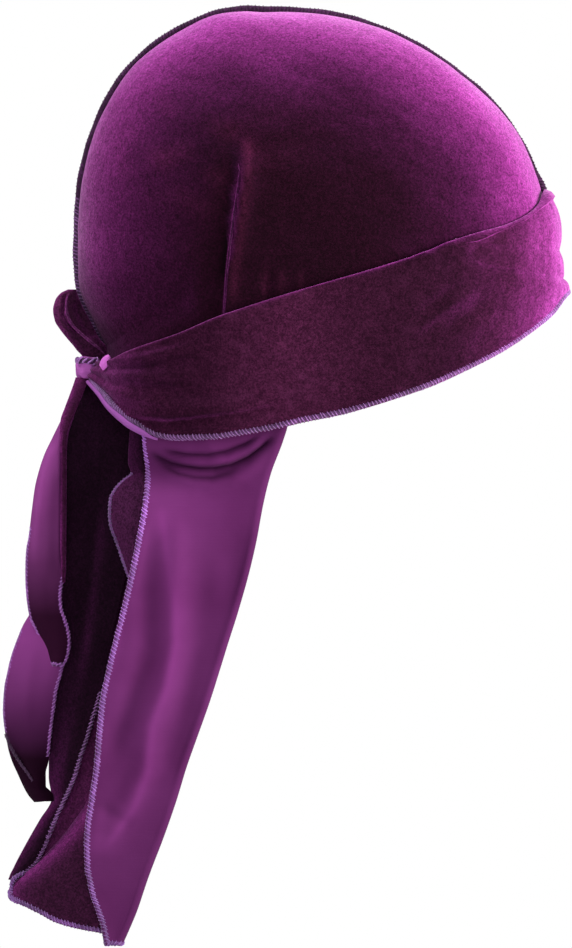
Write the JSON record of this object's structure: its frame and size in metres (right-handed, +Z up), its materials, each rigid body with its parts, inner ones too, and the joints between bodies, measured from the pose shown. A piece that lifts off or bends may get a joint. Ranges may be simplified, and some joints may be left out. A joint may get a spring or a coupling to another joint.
{
  "type": "durag",
  "caption": "Velvet durag in worn form: two half crowns with a raised centre seam, a folded band knotted at the back, tail ends and a turned-out neck flap.",
  "frame": {"origin": "inner top of the crown on the centre plane, where it rests on the wearer's head", "axes": "+X toward the face side, +Z up, -Y the wearer's right side"},
  "size_m": [0.2375, 0.1608, 0.3945],
  "materials": {
    "velvet_plum": "crushed stretch velvet pile, bright magenta sheen at grazing angles",
    "satin_plum": "smooth fine knit wrong side of the velvet, soft satin lustre",
    "thread_violet": "dense overlock thread, matt with a slight lustre"
  },
  "bodies": {
    "root": {"crown_right": "velvet_plum", "crown_left": "velvet_plum", "centre_seam": "thread_violet", "band": "velvet_plum", "knot": "satin_plum", "knot_loop": "velvet_plum", "tail_long": "velvet_plum", "tail_short": "satin_plum", "cape_fold": "velvet_plum", "cape": "satin_plum"}
  },
  "joints": []
}
